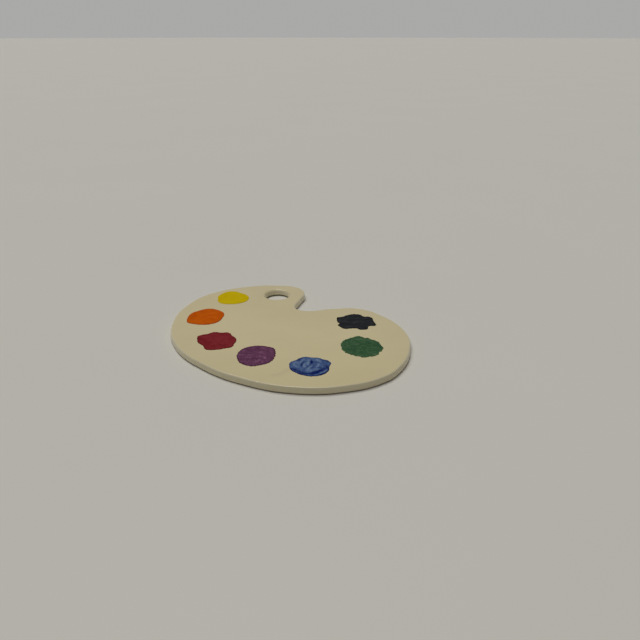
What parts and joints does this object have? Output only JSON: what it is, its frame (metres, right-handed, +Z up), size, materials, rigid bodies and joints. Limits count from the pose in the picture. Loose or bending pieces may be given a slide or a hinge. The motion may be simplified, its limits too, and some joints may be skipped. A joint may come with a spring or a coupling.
{
  "type": "mixing palette",
  "caption": "Flat kidney-shaped painter's palette in cream glaze, with a thumb hole, a finger notch and brushed dabs of colour along its rim.",
  "frame": {"origin": "under the middle of the slab, on the surface that it rests on", "axes": "+X along the long side towards the broad lobe, +Y towards the finger notch, +Z up through the mixing face"},
  "size_m": [0.2501, 0.1846, 0.0074],
  "materials": {
    "cream_glaze": "satin",
    "yellow_paint": "satin",
    "orange_paint": "satin",
    "red_paint": "satin",
    "purple_paint": "satin",
    "blue_paint": "satin",
    "green_paint": "satin",
    "black_paint": "satin"
  },
  "bodies": {
    "root": {"palette_slab": "cream_glaze", "yellow_paint": "yellow_paint", "orange_paint": "orange_paint", "red_paint": "red_paint", "purple_paint": "purple_paint", "blue_paint": "blue_paint", "green_paint": "green_paint", "black_paint": "black_paint"}
  },
  "joints": []
}
